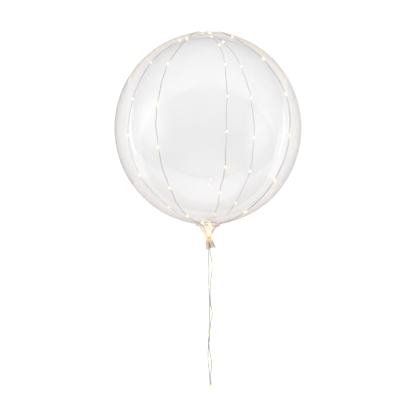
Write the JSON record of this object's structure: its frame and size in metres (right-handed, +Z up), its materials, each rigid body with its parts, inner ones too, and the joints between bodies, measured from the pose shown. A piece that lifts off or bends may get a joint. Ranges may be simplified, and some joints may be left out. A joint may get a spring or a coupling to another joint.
{
  "type": "clear bubble balloon",
  "caption": "Round clear film bubble balloon, tied at the neck, with a string of small warm lamps laid over it and a doubled lamp wire tail.",
  "frame": {"origin": "middle of the small flat spot that the bubble rests on", "axes": "+Z up from the surface it lies on; -Y towards the neck and the tail; +X to the right, seen from the neck"},
  "size_m": [0.449, 0.7941, 0.4513],
  "materials": {
    "clear_film": "clear, glossy, thin blown film",
    "lamp_string": "fine enamelled copper and silvered wire, satin",
    "lamp_resin": "clear moulded resin drops, lit warm white",
    "neck_film": "gathered and crumpled film, slightly yellowed where it lies in layers"
  },
  "bodies": {
    "root": {"bubble": "clear_film", "light_loop_left": "lamp_string", "light_loop_right": "lamp_string", "light_run_back": "lamp_string", "neck_wrap": "lamp_string", "tail_strand_a": "lamp_string", "tail_strand_b": "lamp_string"}
  },
  "joints": []
}
